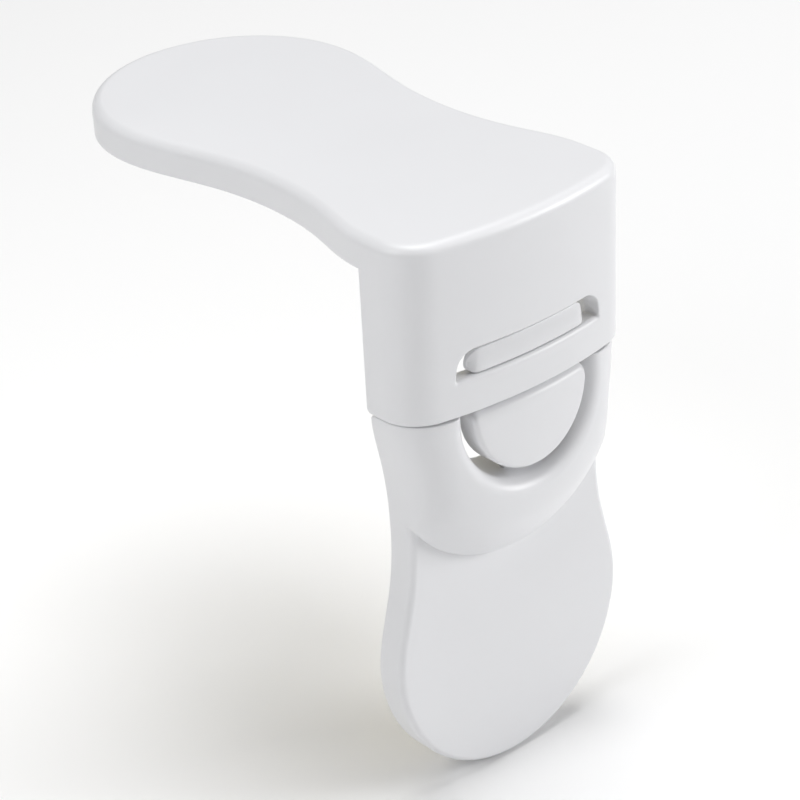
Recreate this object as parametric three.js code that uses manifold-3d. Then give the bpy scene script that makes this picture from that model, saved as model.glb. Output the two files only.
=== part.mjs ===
// Right-angle child-safety corner lock: an L-shaped bracket, a base pad and a sprung latch tongue.
// Millimetres, +X across the lock, +Y into the furniture, +Z up along the base.

import * as THREE from 'three';
import { mergeVertices } from 'three/addons/utils/BufferGeometryUtils.js';
import Module from 'manifold-3d';

const wasm = await Module();
wasm.setup();

// Heights are measured from the seam between bracket and base; depths from the furniture's front face.

// Bracket
const HALF_WIDTH = 22;
const TOP_Z = 28.2;
const PLATE_THICKNESS = 5.2;
const LOBE_HALF_WIDTH = 22.6;
const PLATE_LENGTH = 76.6;
const PLATE_WAIST = [[12, 19.5], [24, 18.05], [36, 19.15]];
const PLATE_LOBE_START = 54.6;
const PLATE_EDGE_RADIUS = 1.7;
const SKIRT_DEPTH = 12.7;
const SKIRT_DRAFT = 0.7;
const SKIRT_WALL = 2.9;
const SKIRT_CEILING = 2.8;
const CEILING_LIP = 0.6;
const FRONT_BOW_RADIUS = 74;
const FRONT_CORNER_RADIUS = 7;
const LEAST_CORNER_RADIUS = 0.5;

// Slot in the skirt, and the bridge strip left under it
const SLOT_HALF_WIDTH = 14.2;
const SLOT_BOTTOM = 5.75;
const SLOT_TOP = 10.3;
const SLOT_CORNER = 3.4;

// Base
const BASE_THICKNESS = 5.2;
const BASE_LENGTH = 67.8;
const BASE_TOP_HALF_WIDTH = 21.5;
const BASE_WAIST = [[10, 20], [20, 19.1], [30, 19.8]];
const BASE_LOBE_START = 43.8;
const BASE_EDGE_RADIUS = 1;
const SEAM_GAP = 0.5;
const BLOCK_DEPTH = 12.2;
const BLOCK_CORNER_RADIUS = 7.5;
const BLOCK_FOOT = 32;
const BLOCK_RINGS = 12;
const BLOCK_INSET = 0.05;
const CHIN_CENTRE = 7;
const CHIN_RADIUS = 22.4;
const CHIN_DEPTH = 12.45;
const CHIN_CURVE = 17;
const CHIN_FLAT = 9;
const CHIN_RINGS = 10;
const CHIN_POINTS = 32;

// U-shaped notch in the base, and the pocket under it that takes the leaf spring
const NOTCH_RADIUS = 12.5;
const NOTCH_CENTRE = -2.5;
const NOTCH_CHAMFER = 2;
const POCKET_HALF_WIDTH = 5.2;
const POCKET_FRONT = -8.1;
const POCKET_BACK = -4.4;
const POCKET_BOTTOM = -23.5;

// Latch tongue
const PAD_RADIUS = 11.1;
const PAD_CENTRE = -1.8;
const PAD_TOP = -0.7;
const PAD_RECESS = 0.1;
const PAD_EDGE = 0.8;
const TONGUE_BACK = -7.2;
const NECK_FRONT = -8.4;
const NECK_HALF_WIDTH = 8.6;
const NECK_FOOT = -4;
const BAR_HALF_WIDTH = 11.5;
const BAR_FOOT_GAP = 0.2;
const BAR_HEAD_GAP = 0.75;
const BAR_NOSE = -11.75;
const BAR_TOP_NOSE = -11.25;
const BAR_RECESS = 0.4;
const BAR_END_ROUND = 1.6;

// Leaf spring
const LEAF_HALF_WIDTH = 4.6;
const LEAF_THICKNESS = 1.2;
const LEAF_TOP = -5;
const LEAF_FOOT_TOP = -20.5;
const LEAF_FOOT_BOTTOM = -23.2;
const LEAF_FOOT_FRONT = -7.8;
const LEAF_FOOT_BACK = -4.7;

// Adhesive foam pads and their release liners
const FOAM_THICKNESS = 1;
const FOAM_RECESS = 0.5;
const FOAM_MARGIN = 2.4;
const FOAM_SIDE_GAP = 0.3;
const LINER_THICKNESS = 0.2;
const BOND_GAP = 0.02;
const PLATE_FOAM_START = 3;
const BASE_FOAM_START = 20;

// Shared drawing values
const LOBE_STEPS = 5;
const OUTLINE_POINTS = 36;
const LOOP_SPACING = 3;
const ARC_POINTS = 12;
const BEVEL_STEPS = 4;
const OVERCUT = 2;
const WELD = 1e-5;
const ORIGIN_BELOW_SEAM = 42;

const UNDERSIDE = TOP_Z - PLATE_THICKNESS;
const PAD_FACE = FOAM_THICKNESS - FOAM_RECESS + LINER_THICKNESS;

const whitePlastic = { color: 0xe9eaec, roughness: 0.38, metalness: 0 };
const springPlastic = { color: 0xdcdde0, roughness: 0.45, metalness: 0 };
const foamWhite = { color: 0xd8d8d4, roughness: 0.95, metalness: 0 };
const linerFilm = { color: 0xf2e7c4, roughness: 0.5, metalness: 0 };

function toSolid(geometry) {
  const bare = geometry.clone();
  bare.deleteAttribute('normal');
  bare.deleteAttribute('uv');
  const merged = mergeVertices(bare, WELD);
  const count = merged.attributes.position.count;
  const triVerts = merged.index
    ? new Uint32Array(merged.index.array)
    : Uint32Array.from({ length: count }, (_, i) => i);
  const vertProperties = new Float32Array(merged.attributes.position.array);
  return new wasm.Manifold(new wasm.Mesh({ numProp: 3, vertProperties, triVerts }));
}

function toGeometry(solid) {
  const mesh = solid.getMesh();
  const geometry = new THREE.BufferGeometry();
  geometry.setAttribute('position', new THREE.BufferAttribute(new Float32Array(mesh.vertProperties), 3));
  geometry.setIndex(new THREE.BufferAttribute(new Uint32Array(mesh.triVerts), 1));
  geometry.computeVertexNormals();
  return geometry;
}

// Box from two opposite corners.
function box(low, high) {
  const size = new THREE.Vector3().subVectors(high, low);
  const geometry = new THREE.BoxGeometry(size.x, size.y, size.z);
  geometry.translate((low.x + high.x) / 2, (low.y + high.y) / 2, (low.z + high.z) / 2);
  return toSolid(geometry);
}

function vec(x, y, z) {
  return new THREE.Vector3(x, y, z);
}

// Shape in X and minus Z, extruded along Y from front to back.
function throughY(shape, front, back, bevel = 0, steps = BEVEL_STEPS) {
  const geometry = extrude(shape, back - front, bevel, steps);
  geometry.rotateX(-Math.PI / 2);
  geometry.translate(0, front, 0);
  return toSolid(geometry);
}

// Shape in X and Y, extruded along Z from bottom to top.
function throughZ(shape, bottom, top, bevel = 0) {
  const geometry = extrude(shape, top - bottom, bevel);
  geometry.translate(0, 0, bottom);
  return toSolid(geometry);
}

// Shape in Y and Z, extruded along X to the same distance each side.
function acrossX(shape, halfWidth) {
  const geometry = extrude(shape, 2 * halfWidth, 0);
  geometry.applyMatrix4(new THREE.Matrix4().makeBasis(vec(0, 1, 0), vec(0, 0, 1), vec(1, 0, 0)));
  geometry.translate(-halfWidth, 0, 0);
  return geometry;
}

function extrude(shape, height, bevel, steps = BEVEL_STEPS) {
  const geometry = new THREE.ExtrudeGeometry(shape, {
    depth: height - 2 * bevel,
    bevelEnabled: bevel > 0,
    bevelThickness: bevel,
    bevelSize: bevel,
    bevelOffset: -bevel,
    bevelSegments: steps,
    curveSegments: ARC_POINTS,
  });
  geometry.translate(0, 0, bevel);
  return geometry;
}

// One side of a waisted lobe outline: [distance along the lobe, half width], from its root to its tip.
function lobeSide(rootHalfWidth, waist, lobeStart, length) {
  const points = [new THREE.Vector2(0, rootHalfWidth)];
  for (const [along, half] of waist) points.push(new THREE.Vector2(along, half));
  for (let i = 0; i <= LOBE_STEPS; i++) {
    const angle = (i / LOBE_STEPS) * (Math.PI / 2);
    const along = lobeStart + (length - lobeStart) * Math.sin(angle);
    points.push(new THREE.Vector2(along, Math.max(LOBE_HALF_WIDTH * Math.cos(angle), 0)));
  }
  return new THREE.SplineCurve(points).getPoints(OUTLINE_POINTS);
}

const plateSide = lobeSide(HALF_WIDTH, PLATE_WAIST, PLATE_LOBE_START, PLATE_LENGTH);
const baseSide = lobeSide(BASE_TOP_HALF_WIDTH, BASE_WAIST, BASE_LOBE_START, BASE_LENGTH);

// Half width of a lobe at one distance along it.
function halfWidthAt(side, along) {
  for (let i = 1; i < side.length; i++) {
    if (side[i].x >= along) {
      const t = (along - side[i - 1].x) / (side[i].x - side[i - 1].x);
      return side[i - 1].y + t * (side[i].y - side[i - 1].y);
    }
  }
  return 0;
}

// Part of a lobe beyond `from`, as a loop of points from its right root round the tip to its left root.
function lobeBeyond(side, from) {
  const right = [new THREE.Vector2(halfWidthAt(side, from), from)];
  for (const p of side.slice(1, -1)) {
    if (p.x > from + LOOP_SPACING) right.push(new THREE.Vector2(p.y, p.x));
  }
  const tip = new THREE.Vector2(0, side[side.length - 1].x);
  const left = right.map((p) => new THREE.Vector2(-p.x, p.y)).reverse();
  return [...right, tip, ...left];
}

// Counter-clockwise loop moved inwards by `margin`, point for point.
function shrink(loop, margin) {
  return loop.map((p, i) => {
    const before = new THREE.Vector2().subVectors(p, loop.at(i - 1)).normalize();
    const after = new THREE.Vector2().subVectors(loop[(i + 1) % loop.length], p).normalize();
    const inward = new THREE.Vector2(-before.y - after.y, before.x + after.x);
    return inward.multiplyScalar((2 * margin) / inward.lengthSq()).add(p);
  });
}

// Slab over a loop, from bottom to top, with its top edge rounded by `radius`.
function edgedSlab(loop, bottom, top, radius) {
  const rings = [loop.map((p) => vec(p.x, p.y, bottom))];
  for (let i = 0; i <= BEVEL_STEPS; i++) {
    const angle = (i / BEVEL_STEPS) * (Math.PI / 2);
    const height = top - radius + radius * Math.sin(angle);
    rings.push(shrink(loop, radius * (1 - Math.cos(angle))).map((p) => vec(p.x, p.y, height)));
  }
  return loft(rings);
}

// Front of the lock in plan: two side walls, round corners and a bowed face, open at the back.
function frontPlan(halfWidth, depth, cornerRadius, inset) {
  const bow = FRONT_BOW_RADIUS - inset;
  const corner = Math.max(cornerRadius - inset, LEAST_CORNER_RADIUS);
  const side = halfWidth - inset;
  const bowCentre = -depth + FRONT_BOW_RADIUS;
  const cornerCentre = bowCentre - Math.sqrt((bow - corner) ** 2 - (side - corner) ** 2);
  const turn = Math.atan2(bowCentre - cornerCentre, side - corner);
  const points = [];
  for (let i = 0; i <= ARC_POINTS; i++) {
    const angle = -(i / ARC_POINTS) * turn;
    const across = side - corner + corner * Math.cos(angle);
    points.push(new THREE.Vector2(across, cornerCentre + corner * Math.sin(angle)));
  }
  for (let i = 1; i <= ARC_POINTS; i++) {
    const angle = -turn - (i / ARC_POINTS) * (Math.PI / 2 - turn);
    points.push(new THREE.Vector2(bow * Math.cos(angle), bowCentre + bow * Math.sin(angle)));
  }
  const left = points.slice(0, -1).map((p) => new THREE.Vector2(-p.x, p.y)).reverse();
  return [...points, ...left];
}

// Closed plan section: the front profile plus a straight back edge at `back`.
function planShape(halfWidth, depth, cornerRadius, inset, back) {
  const front = frontPlan(halfWidth, depth, cornerRadius, inset);
  const right = new THREE.Vector2(halfWidth - inset, back);
  const left = new THREE.Vector2(-(halfWidth - inset), back);
  return new THREE.Shape([left, ...front.reverse(), right].reverse());
}

function makeBracketShell() {
  const front = frontPlan(HALF_WIDTH, SKIRT_DEPTH, FRONT_CORNER_RADIUS, 0).reverse();
  const outline = [...front.slice(1, -1), ...lobeBeyond(plateSide, 0)];
  const plate = toSolid(edgedSlab(outline, UNDERSIDE, TOP_Z, PLATE_EDGE_RADIUS));
  const skirt = throughZ(
    planShape(HALF_WIDTH, SKIRT_DEPTH, FRONT_CORNER_RADIUS, 0, 0),
    0,
    TOP_Z - PLATE_THICKNESS / 2,
  );
  const hollow = throughZ(
    planShape(HALF_WIDTH, SKIRT_DEPTH, FRONT_CORNER_RADIUS, SKIRT_WALL, -CEILING_LIP),
    -OVERCUT,
    TOP_Z - SKIRT_CEILING,
  );
  const innerHalf = HALF_WIDTH - SKIRT_WALL;
  const backDoor = box(vec(-innerHalf, -2 * CEILING_LIP, -OVERCUT), vec(innerHalf, OVERCUT, UNDERSIDE));
  const slot = throughY(slotShape(), -SKIRT_DEPTH - OVERCUT, -SKIRT_DEPTH + 2 * SKIRT_WALL);
  const recess = platePrism(FOAM_MARGIN - FOAM_SIDE_GAP, UNDERSIDE - OVERCUT, UNDERSIDE + FOAM_RECESS);
  const solid = plate.add(skirt).subtract(hollow).subtract(backDoor).subtract(slot).subtract(recess);
  const geometry = toGeometry(solid);
  leanFront(geometry);
  return geometry;
}

// Moulding draft: the front face leans back towards the seam.
function leanFront(geometry) {
  const position = geometry.attributes.position;
  for (let i = 0; i < position.count; i++) {
    const y = position.getY(i);
    const lean = (SKIRT_DRAFT / SKIRT_DEPTH) * (1 - position.getZ(i) / TOP_Z);
    if (y < 0) position.setY(i, y * (1 - lean));
  }
}

function slotShape() {
  const shape = new THREE.Shape();
  const centre = SLOT_HALF_WIDTH - SLOT_CORNER;
  const height = -(SLOT_TOP - SLOT_CORNER);
  shape.moveTo(-SLOT_HALF_WIDTH, -SLOT_BOTTOM);
  shape.lineTo(-SLOT_HALF_WIDTH, height);
  shape.absarc(-centre, height, SLOT_CORNER, Math.PI, 1.5 * Math.PI, false);
  shape.absarc(centre, height, SLOT_CORNER, 1.5 * Math.PI, 2 * Math.PI, false);
  shape.lineTo(SLOT_HALF_WIDTH, -SLOT_BOTTOM);
  return shape;
}

// Foam-shaped prism under the bracket plate, between two heights.
function platePrism(margin, bottom, top) {
  return throughZ(new THREE.Shape(shrink(lobeBeyond(plateSide, PLATE_FOAM_START), margin)), bottom, top);
}

// The same prism on the back of the base, between two depths.
function basePrism(margin, front, back) {
  return throughY(new THREE.Shape(shrink(lobeBeyond(baseSide, BASE_FOAM_START), margin)), front, back);
}

// Dome that rounds the block off into the chin: U-shaped rings round one centre, from the chin's edge to its crown.
function makeChin() {
  const ring = (radius, depth) => {
    const points = [vec(radius, SEAM_GAP, depth)];
    for (let i = 0; i <= CHIN_POINTS; i++) {
      const angle = (i / CHIN_POINTS) * Math.PI;
      points.push(vec(radius * Math.cos(angle), CHIN_CENTRE + radius * Math.sin(angle), depth));
    }
    return [...points, vec(-radius, SEAM_GAP, depth)];
  };
  const rings = [ring(CHIN_RADIUS, 0)];
  for (let i = 0; i <= CHIN_RINGS; i++) {
    const run = (1 - i / CHIN_RINGS) * (CHIN_RADIUS - CHIN_FLAT);
    rings.push(ring(CHIN_FLAT + run, CHIN_DEPTH - CHIN_CURVE + Math.sqrt(CHIN_CURVE ** 2 - run ** 2)));
  }
  return facingFront(loft(rings));
}

// A slab drawn in X and distance below the seam, with its height as depth, turned to face the front.
function facingFront(slab) {
  slab.rotateX(Math.PI / 2);
  slab.rotateY(Math.PI);
  return toSolid(slab);
}

// Raised block of the base: plan sections lofted down the waist.
function makeBlock() {
  const rings = [];
  for (let i = 0; i <= BLOCK_RINGS; i++) {
    const z = -BLOCK_FOOT + (i / BLOCK_RINGS) * (BLOCK_FOOT - SEAM_GAP);
    const half = halfWidthAt(baseSide, -z) - BLOCK_INSET;
    const section = frontPlan(half, BLOCK_DEPTH, BLOCK_CORNER_RADIUS, 0).reverse();
    const ring = section.map((p) => vec(p.x, p.y, z));
    rings.push([...ring, vec(half, -BLOCK_INSET, z), vec(-half, -BLOCK_INSET, z)]);
  }
  return toSolid(loft(rings));
}

// Closed skin over level rings of equal point counts, each counter-clockwise, from the bottom up.
function loft(rings) {
  const count = rings[0].length;
  const triangles = [];
  for (let r = 0; r < rings.length - 1; r++) {
    for (let i = 0; i < count; i++) {
      const j = (i + 1) % count;
      const low = r * count;
      const high = low + count;
      triangles.push(low + i, low + j, high + j, low + i, high + j, high + i);
    }
  }
  const lid = (ring) => THREE.ShapeUtils.triangulateShape(ring.map((p) => new THREE.Vector2(p.x, p.y)), []);
  const last = (rings.length - 1) * count;
  for (const [a, b, c] of lid(rings[0])) triangles.push(a, c, b);
  for (const [a, b, c] of lid(rings.at(-1))) triangles.push(last + a, last + b, last + c);
  const positions = rings.flat().flatMap((p) => [p.x, p.y, p.z]);
  const geometry = new THREE.BufferGeometry();
  geometry.setAttribute('position', new THREE.Float32BufferAttribute(positions, 3));
  geometry.setIndex(triangles);
  return geometry;
}

function notchShape(radius) {
  const shape = new THREE.Shape();
  shape.moveTo(radius, -OVERCUT - NOTCH_CHAMFER);
  shape.lineTo(radius, -NOTCH_CENTRE);
  shape.absarc(0, -NOTCH_CENTRE, radius, 0, Math.PI, false);
  shape.lineTo(-radius, -OVERCUT - NOTCH_CHAMFER);
  return shape;
}

// Notch cutter, flared by a chamfer at the block's front and at its back.
function makeNotch() {
  const flare = notchShape(NOTCH_RADIUS + NOTCH_CHAMFER);
  const front = throughY(flare, -BLOCK_DEPTH - NOTCH_CHAMFER, -BLOCK_DEPTH + NOTCH_CHAMFER, NOTCH_CHAMFER, 1);
  const back = throughY(flare, -NOTCH_CHAMFER, NOTCH_CHAMFER, NOTCH_CHAMFER, 1);
  return throughY(notchShape(NOTCH_RADIUS), -BLOCK_DEPTH - OVERCUT, OVERCUT).add(front).add(back);
}

function makeBaseShell() {
  const slab = edgedSlab(lobeBeyond(baseSide, SEAM_GAP), 0, BASE_THICKNESS, BASE_EDGE_RADIUS);
  const block = makeBlock().intersect(makeChin());
  const pocket = box(
    vec(-POCKET_HALF_WIDTH, POCKET_FRONT, POCKET_BOTTOM),
    vec(POCKET_HALF_WIDTH, POCKET_BACK, NOTCH_CENTRE - NOTCH_RADIUS + OVERCUT),
  );
  const recess = basePrism(FOAM_MARGIN - FOAM_SIDE_GAP, -FOAM_RECESS, OVERCUT);
  return toGeometry(facingFront(slab).add(block).subtract(makeNotch()).subtract(pocket).subtract(recess));
}

// Half-round press pad on the front of the tongue, with the neck that runs up behind the bridge strip.
function makeTongue() {
  const shape = new THREE.Shape();
  shape.moveTo(PAD_RADIUS, -PAD_TOP);
  shape.lineTo(PAD_RADIUS, -PAD_CENTRE);
  shape.absarc(0, -PAD_CENTRE, PAD_RADIUS, 0, Math.PI, false);
  shape.lineTo(-PAD_RADIUS, -PAD_TOP);
  const pad = throughY(shape, -BLOCK_DEPTH + PAD_RECESS, TONGUE_BACK, PAD_EDGE);
  const front = planShape(BASE_TOP_HALF_WIDTH, BLOCK_DEPTH, BLOCK_CORNER_RADIUS, PAD_RECESS, 0);
  const bowed = pad.intersect(throughZ(front, -PAD_RADIUS * 2, OVERCUT));
  const neck = box(
    vec(-NECK_HALF_WIDTH, NECK_FRONT, NECK_FOOT),
    vec(NECK_HALF_WIDTH, TONGUE_BACK, SLOT_TOP - BAR_HEAD_GAP),
  );
  return toGeometry(bowed.add(neck));
}

// Catch bar: a wedge that fills the slot, flush at its lower edge and ramped back at its top.
function makeCatchBar() {
  const low = SLOT_BOTTOM + BAR_FOOT_GAP;
  const high = SLOT_TOP - BAR_HEAD_GAP;
  const back = NECK_FRONT - BOND_GAP;
  const wedge = new THREE.Shape([
    new THREE.Vector2(back, low),
    new THREE.Vector2(back, high),
    new THREE.Vector2(BAR_TOP_NOSE, high),
    new THREE.Vector2(BAR_NOSE, low),
  ]);
  const bar = toSolid(acrossX(wedge, BAR_HALF_WIDTH));
  const envelope = planShape(
    BAR_HALF_WIDTH + BAR_RECESS, -BAR_NOSE + BAR_RECESS, BAR_END_ROUND + BAR_RECESS, BAR_RECESS, 0,
  );
  return toGeometry(bar.intersect(throughZ(envelope, low - OVERCUT, high + OVERCUT)));
}

// Leaf spring: a flat strip up the back of the press pad, on a thicker foot held in the base's pocket.
function makeLeaf() {
  const front = TONGUE_BACK + BOND_GAP;
  const back = front + LEAF_THICKNESS;
  const shape = new THREE.Shape([
    new THREE.Vector2(front, LEAF_TOP),
    new THREE.Vector2(front, LEAF_FOOT_TOP),
    new THREE.Vector2(LEAF_FOOT_FRONT, LEAF_FOOT_TOP),
    new THREE.Vector2(LEAF_FOOT_FRONT, LEAF_FOOT_BOTTOM),
    new THREE.Vector2(LEAF_FOOT_BACK, LEAF_FOOT_BOTTOM),
    new THREE.Vector2(LEAF_FOOT_BACK, LEAF_FOOT_TOP),
    new THREE.Vector2(back, LEAF_FOOT_TOP),
    new THREE.Vector2(back, LEAF_TOP),
  ]);
  return acrossX(shape, LEAF_HALF_WIDTH);
}

function addPiece(parent, name, geometry, look) {
  const mesh = new THREE.Mesh(geometry, new THREE.MeshStandardMaterial(look));
  mesh.name = name;
  parent.add(mesh);
}

// The lock hangs in a group whose origin is on the base's sticking face, midway up the pad.
const lock = new THREE.Group();
lock.position.set(0, -PAD_FACE, ORIGIN_BELOW_SEAM);

addPiece(lock, 'bracket_shell', makeBracketShell(), whitePlastic);
addPiece(lock, 'base_shell', makeBaseShell(), whitePlastic);
addPiece(lock, 'latch_tongue', makeTongue(), whitePlastic);
addPiece(lock, 'catch_bar', makeCatchBar(), whitePlastic);
addPiece(lock, 'leaf_spring', makeLeaf(), springPlastic);

const foamTop = UNDERSIDE + FOAM_RECESS - BOND_GAP;
const foamBottom = UNDERSIDE + FOAM_RECESS - FOAM_THICKNESS;
const linerFace = foamBottom - BOND_GAP;
const plateFoam = platePrism(FOAM_MARGIN, foamBottom, foamTop);
const plateLiner = platePrism(FOAM_MARGIN, UNDERSIDE - PAD_FACE, linerFace);
addPiece(lock, 'bracket_foam_pad', toGeometry(plateFoam), foamWhite);
addPiece(lock, 'bracket_pad_liner', toGeometry(plateLiner), linerFilm);

const baseFoam = basePrism(FOAM_MARGIN, -FOAM_RECESS + BOND_GAP, PAD_FACE - LINER_THICKNESS);
const baseLiner = basePrism(FOAM_MARGIN, PAD_FACE - LINER_THICKNESS + BOND_GAP, PAD_FACE);
addPiece(lock, 'base_foam_pad', toGeometry(baseFoam), foamWhite);
addPiece(lock, 'base_pad_liner', toGeometry(baseLiner), linerFilm);

const group = new THREE.Group();
group.add(lock);

export default group;
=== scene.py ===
import bmesh
import bpy
import numpy as np
from mathutils import Matrix, Vector


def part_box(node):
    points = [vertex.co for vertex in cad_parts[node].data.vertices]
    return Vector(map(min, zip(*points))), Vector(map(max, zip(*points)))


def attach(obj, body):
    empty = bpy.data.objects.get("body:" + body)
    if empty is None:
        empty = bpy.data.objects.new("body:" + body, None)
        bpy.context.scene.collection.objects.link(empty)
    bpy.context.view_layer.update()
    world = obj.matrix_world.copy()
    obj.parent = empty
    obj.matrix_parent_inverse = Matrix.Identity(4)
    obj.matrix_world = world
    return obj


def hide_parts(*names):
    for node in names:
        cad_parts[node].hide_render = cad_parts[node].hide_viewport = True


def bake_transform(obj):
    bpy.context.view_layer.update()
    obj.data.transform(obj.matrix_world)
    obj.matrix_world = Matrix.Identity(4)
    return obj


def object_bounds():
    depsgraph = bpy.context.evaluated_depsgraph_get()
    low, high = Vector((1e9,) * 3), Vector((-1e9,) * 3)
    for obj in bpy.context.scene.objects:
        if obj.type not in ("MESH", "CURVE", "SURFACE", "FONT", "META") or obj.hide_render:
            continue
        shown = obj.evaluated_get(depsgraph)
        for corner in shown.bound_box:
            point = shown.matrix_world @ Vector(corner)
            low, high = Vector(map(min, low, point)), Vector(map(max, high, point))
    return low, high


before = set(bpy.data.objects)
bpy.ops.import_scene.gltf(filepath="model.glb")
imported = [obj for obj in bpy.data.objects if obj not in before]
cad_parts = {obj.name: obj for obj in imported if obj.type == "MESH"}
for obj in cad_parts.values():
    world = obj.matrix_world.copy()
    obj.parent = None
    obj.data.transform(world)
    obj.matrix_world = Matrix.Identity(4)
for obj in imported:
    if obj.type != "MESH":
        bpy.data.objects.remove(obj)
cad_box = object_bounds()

# A right-angle child-safety corner lock: bracket, base, press-to-release tongue, foam pads and liners.
# Lengths are millimetres from the seam (z) and from the furniture's front face (y) until a piece is
# placed; place() turns them into metres in the frame.

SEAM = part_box("bracket_shell")[0].z * 1000
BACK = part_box("base_shell")[1].y * 1000

# bracket
HALF = 22.0
TOP = 28.2
UNDERSIDE = 23.0
CEILING = 25.4
PLATE_END = 76.6
PLATE_WAIST = [(12, 19.5), (24, 18.05), (36, 19.15)]
PLATE_LOBE = 54.6
LOBE_HALF = 22.6
TOP_ROUND = 1.7
RIM_BORDER = 0.5
DEPTH = 12.7
DRAFT = 0.7
WALL = 2.9
BOW = 74.0
CORNER = 7.0
EDGE = 0.22
HEEL = 1.0

# slot
SLOT_HALF = 14.2
SLOT_LOW = 5.75
SLOT_HIGH = 10.3
SLOT_CORNER = 3.4
SLOT_FOOT_CORNER = 0.35
SLOT_LIP = 0.8
PATCH_HALF = 16.0
PATCH_LOW = 3.6
PATCH_HIGH = 12.4

# base
PAD = 5.2
BASE_END = 67.8
BASE_TOP = 21.5
BASE_WAIST = [(10, 20.0), (20, 19.1), (30, 19.8)]
BASE_LOBE = 43.8
BASE_BACK_ROUND = 0.5
BASE_LINES = 320
PAD_ROUND = 1.0
RIM_SPREAD = 3.0
RIM_SPREAD_FROM = 22
RIM_SPREAD_RUN = 9
CHIN_BLEND = 1.2
CREASE_BLEND = 0.2
CREASE_LIMIT = 0.985
SHOULDER = 7.0
GAP = 0.5
BLOCK = 12.0
BLOCK_LEAN = 0.03
BLOCK_CORNER = 7.5
CHIN_CENTRE = 7.0
CHIN_DEPTH = 12.45
CHIN_CURVE = 17.0
CHIN_FLAT = 9.0
CHIN_RADIUS = 22.4
CHIN_LIP = 0.6
NOTCH = 12.5
NOTCH_CENTRE = -2.5
NOTCH_ROUND = 2.4
NOTCH_BACK_ROUND = 2.3

# tongue
PRESS = 11.1
PRESS_CENTRE = -1.8
PRESS_TOP = -0.7
PRESS_CORNER = 1.2
PRESS_FACE = 12.1
PRESS_BACK = -7.2
PRESS_FRONT_ROUND = 0.75
PRESS_BACK_ROUND = 0.5
PRESS_LEAN = 0.9
PRESS_LEAN_STRIP = 2.6
NECK_BACK = -7.35
NECK_FRONT = -8.4
NECK_HALF = 8.6
BAR_HALF = 11.5
BAR_LOW = 5.95
BAR_HIGH = 9.55
BAR_NOSE = -11.75
BAR_LEAN = 0.5
BAR_END = 2.2
BAR_FALL = 0.96
BAR_BACK = -9.4
BAR_FOOT_CORNER = 1.2
BAR_HEAD_CORNER = 2.35

# leaf spring
LEAF_LOW = -23
LEAF_HIGH = -3.6
LEAF_HALF = 4.6
LEAF_WAIST = 2.4
LEAF_THICK = 1.2
LEAF_SQUARE = 0.25

# foam pads and liners: where they start along the lobe, their margin, and their two faces
PLATE_PAD_START = 3
BASE_PAD_START = 20
FOAM_MARGIN = 2.4
FOAM_EDGE = 0.12
LINER_MARGIN = 2.3
LINER_EDGE = 0.04
PLATE_FOAM = (22.5, 23.48)
PLATE_LINER = (22.3, 22.48)
BASE_FOAM = (-0.48, 0.5)
BASE_LINER = (0.52, 0.7)

# meshes
WELD = 2e-6
SLIVER = 1e-7
SHARP_ANGLE = 40


def place(points):
    """Millimetres from seam and furniture face to metres in the frame."""
    return (np.asarray(points, float) + (0, BACK, SEAM)) / 1000


def spline(knots, count, start=None, end=None):
    """Cubic spline through the knots, by chord length, with clamped slopes where given, at even lengths."""
    knots = np.asarray(knots, float)
    chord = np.r_[0, np.cumsum(np.linalg.norm(np.diff(knots, axis=0), axis=1))]
    step = np.diff(chord)
    rise = np.diff(knots, axis=0) / step[:, None]
    n = len(knots)
    a = np.zeros((n, n))
    b = np.zeros((n, 2))
    inner = np.arange(1, n - 1)
    a[inner, inner - 1] = step[1:]
    a[inner, inner] = 2 * (step[:-1] + step[1:])
    a[inner, inner + 1] = step[:-1]
    b[inner] = 3 * (step[1:, None] * rise[:-1] + step[:-1, None] * rise[1:])
    a[0, 0] = a[-1, -1] = 1
    b[0] = rise[0] if start is None else start
    b[-1] = rise[-1] if end is None else end
    slope = np.linalg.solve(a, b)
    t = np.linspace(0, chord[-1], 4000)
    k = np.clip(np.searchsorted(chord, t, side="right") - 1, 0, n - 2)
    u = ((t - chord[k]) / step[k])[:, None]
    h = step[k][:, None]
    fine = ((2 * u**3 - 3 * u**2 + 1) * knots[k] + (u**3 - 2 * u**2 + u) * h * slope[k]
            + (3 * u**2 - 2 * u**3) * knots[k + 1] + (u**3 - u**2) * h * slope[k + 1])
    return evenly(fine, count)


def evenly(curve, count):
    """Points at even lengths along a polyline."""
    length = np.r_[0, np.cumsum(np.linalg.norm(np.diff(curve, axis=0), axis=1))]
    at = np.linspace(0, length[-1], count)
    return np.column_stack([np.interp(at, length, curve[:, k]) for k in range(curve.shape[1])])


def lobe(root_half, waist, lobe_start, end, count):
    """Right side of a waisted lobe, (half width, distance along): a spline from a square root through the waist
    into a half ellipse that ends at the tip."""
    angle = np.radians([0, 18, 36, 54, 72])
    bulb = np.column_stack([LOBE_HALF * np.cos(angle), lobe_start + (end - lobe_start) * np.sin(angle)])
    knots = [(root_half, 0)] + [(half, along) for along, half in waist] + bulb.tolist() + [(0, end)]
    return spline(knots, count, start=(0, 1), end=(-1, 0))


def normals(loop, closed=True):
    """Unit normals to the right of a path's direction, from central differences."""
    if closed:
        run = np.roll(loop, -1, 0) - np.roll(loop, 1, 0)
    else:
        run = np.gradient(loop, axis=0)
    run = run / np.linalg.norm(run, axis=1, keepdims=True)
    return np.column_stack([run[:, 1], -run[:, 0]])


def quarter(steps):
    """Sines and cosines over a quarter turn."""
    turn = np.linspace(0, np.pi / 2, steps)
    return np.sin(turn), np.cos(turn)


def bunched(count):
    """Steps from 0 to 1 that are finer at both ends."""
    t = np.linspace(0, 1, count)
    return t - 0.85 * np.sin(2 * np.pi * t) / (2 * np.pi)


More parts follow.
